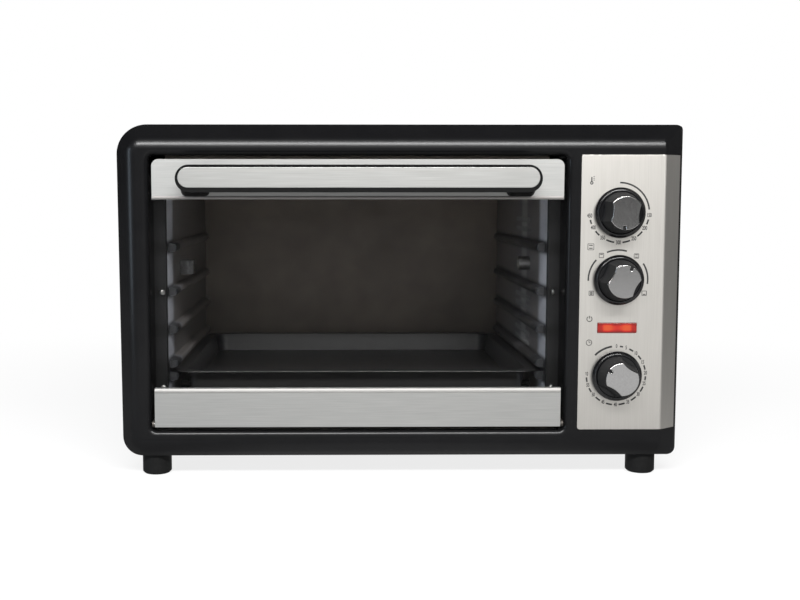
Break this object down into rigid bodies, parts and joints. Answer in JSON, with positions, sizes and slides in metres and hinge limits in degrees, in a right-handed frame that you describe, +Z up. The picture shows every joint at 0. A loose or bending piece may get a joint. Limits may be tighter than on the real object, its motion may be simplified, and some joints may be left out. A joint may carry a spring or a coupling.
{
  "type": "toaster oven",
  "caption": "Counter-top toaster oven with a glass door hinged at its lower edge, a stainless panel of rotary controls at the right, and a baking pan on pressed side rails.",
  "frame": {"origin": "centre of the footprint, on the counter that the feet stand on", "axes": "+X to the right as seen from the front, along the width, +Y to the rear, +Z up"},
  "size_m": [0.5312, 0.41, 0.3325],
  "materials": {
    "bezel_black": "moulded black plastic, semi-gloss",
    "panel_steel": "brushed stainless sheet, satin",
    "case_black": "black baked enamel on sheet steel, satin",
    "trim_steel": "brushed stainless sheet, horizontal grain",
    "door_glass": "clear tempered glass, polished",
    "handle_black": "moulded black plastic, satin",
    "handle_steel": "brushed stainless sheet",
    "knob_black": "moulded black plastic, gloss",
    "knob_cap": "spun aluminium, satin",
    "lens_red": "clear red plastic, gloss",
    "cavity_steel": "aluminised sheet steel, bright",
    "pan_enamel": "black non-stick coating on steel",
    "tray_steel": "aluminised sheet steel",
    "element_sheath": "heat-darkened steel sheath",
    "ceramic": "unglazed white ceramic",
    "zinc_steel": "zinc-plated steel",
    "screw_steel": "plated steel screws",
    "switch_plastic": "moulded phenolic",
    "bell_brass": "plain brass",
    "lamp_glass": "small neon tube",
    "motor_steel": "plated motor case",
    "foot_black": "moulded black rubber"
  },
  "bodies": {
    "root": {"front_bezel": "bezel_black", "control_panel": "panel_steel", "outer_wrap": "case_black", "base_pan": "case_black", "rear_panel": "case_black", "rear_screws": "screw_steel", "cord_gland": "handle_black", "rear_spacers": "handle_black", "feet": "foot_black", "cavity_left_wall": "cavity_steel", "spit_support": "zinc_steel", "cavity_right_wall": "cavity_steel", "cavity_ceiling": "cavity_steel", "cavity_floor": "cavity_steel", "cavity_rear_wall": "cavity_steel", "upper_elements": "element_sheath", "lower_elements": "element_sheath", "element_insulators": "ceramic", "flange_screws": "screw_steel", "rotisserie_motor": "motor_steel", "fan_housing": "zinc_steel", "fan_motor": "motor_steel", "hinge_brackets": "zinc_steel", "control_bracket": "zinc_steel", "thermostat": "switch_plastic", "function_switch": "switch_plastic", "timer_unit": "zinc_steel", "timer_bell": "bell_brass", "indicator_lens": "lens_red", "indicator_lamp": "lamp_glass", "heat_shield": "zinc_steel"},
    "door": {"door_glass": "door_glass", "door_top_trim": "trim_steel", "door_bottom_trim": "trim_steel", "hinge_pins": "zinc_steel", "handle_bar": "handle_black", "handle_face": "handle_steel", "handle_screws": "screw_steel"},
    "temperature_control": {"temperature_knob": "knob_black", "temperature_cap": "knob_cap", "temperature_shaft": "zinc_steel"},
    "function_control": {"function_knob": "knob_black", "function_cap": "knob_cap", "function_shaft": "zinc_steel"},
    "timer_control": {"timer_knob": "knob_black", "timer_cap": "knob_cap", "timer_shaft": "zinc_steel"},
    "fan": {"fan_wheel": "zinc_steel"},
    "spit_drive": {"drive_socket": "zinc_steel"},
    "pan": {"bake_pan": "pan_enamel"},
    "tray": {"crumb_tray": "tray_steel"}
  },
  "joints": [
    {"name": "door_hinge", "type": "hinge", "parent": "root", "child": "door", "pos_m": [-0.0405, -0.17, 0.0515], "axis": [1, 0, 0], "range_deg": [0, 90]},
    {"name": "temperature_turn", "type": "hinge", "parent": "root", "child": "temperature_control", "pos_m": [0.2029, -0.1713, 0.2504], "axis": [0, 1, 0], "range_deg": [-185, 120]},
    {"name": "function_turn", "type": "hinge", "parent": "root", "child": "function_control", "pos_m": [0.2029, -0.1713, 0.1877], "axis": [0, 1, 0], "range_deg": [-142, 85]},
    {"name": "timer_turn", "type": "hinge", "parent": "root", "child": "timer_control", "pos_m": [0.2029, -0.1713, 0.0971], "axis": [0, 1, 0], "range_deg": [0, 327]},
    {"name": "fan_spin", "type": "hinge", "parent": "root", "child": "fan", "pos_m": [0.1627, -0.009, 0.1166], "axis": [1, 0, 0], "continuous": true},
    {"name": "spit_spin", "type": "hinge", "parent": "root", "child": "spit_drive", "pos_m": [0.142, -0.045, 0.1956], "axis": [1, 0, 0], "continuous": true},
    {"name": "pan_slide", "type": "slide", "parent": "root", "child": "pan", "axis": [0, -1, 0], "range_m": [0, 0.103]},
    {"name": "tray_slide", "type": "slide", "parent": "root", "child": "tray", "axis": [0, -1, 0], "range_m": [0, 0.048]}
  ],
  "couplings": [
    {"joint": "pan_slide", "follows": "door_hinge", "m_per_rad": 0.065},
    {"joint": "tray_slide", "follows": "door_hinge", "m_per_rad": 0.03}
  ]
}
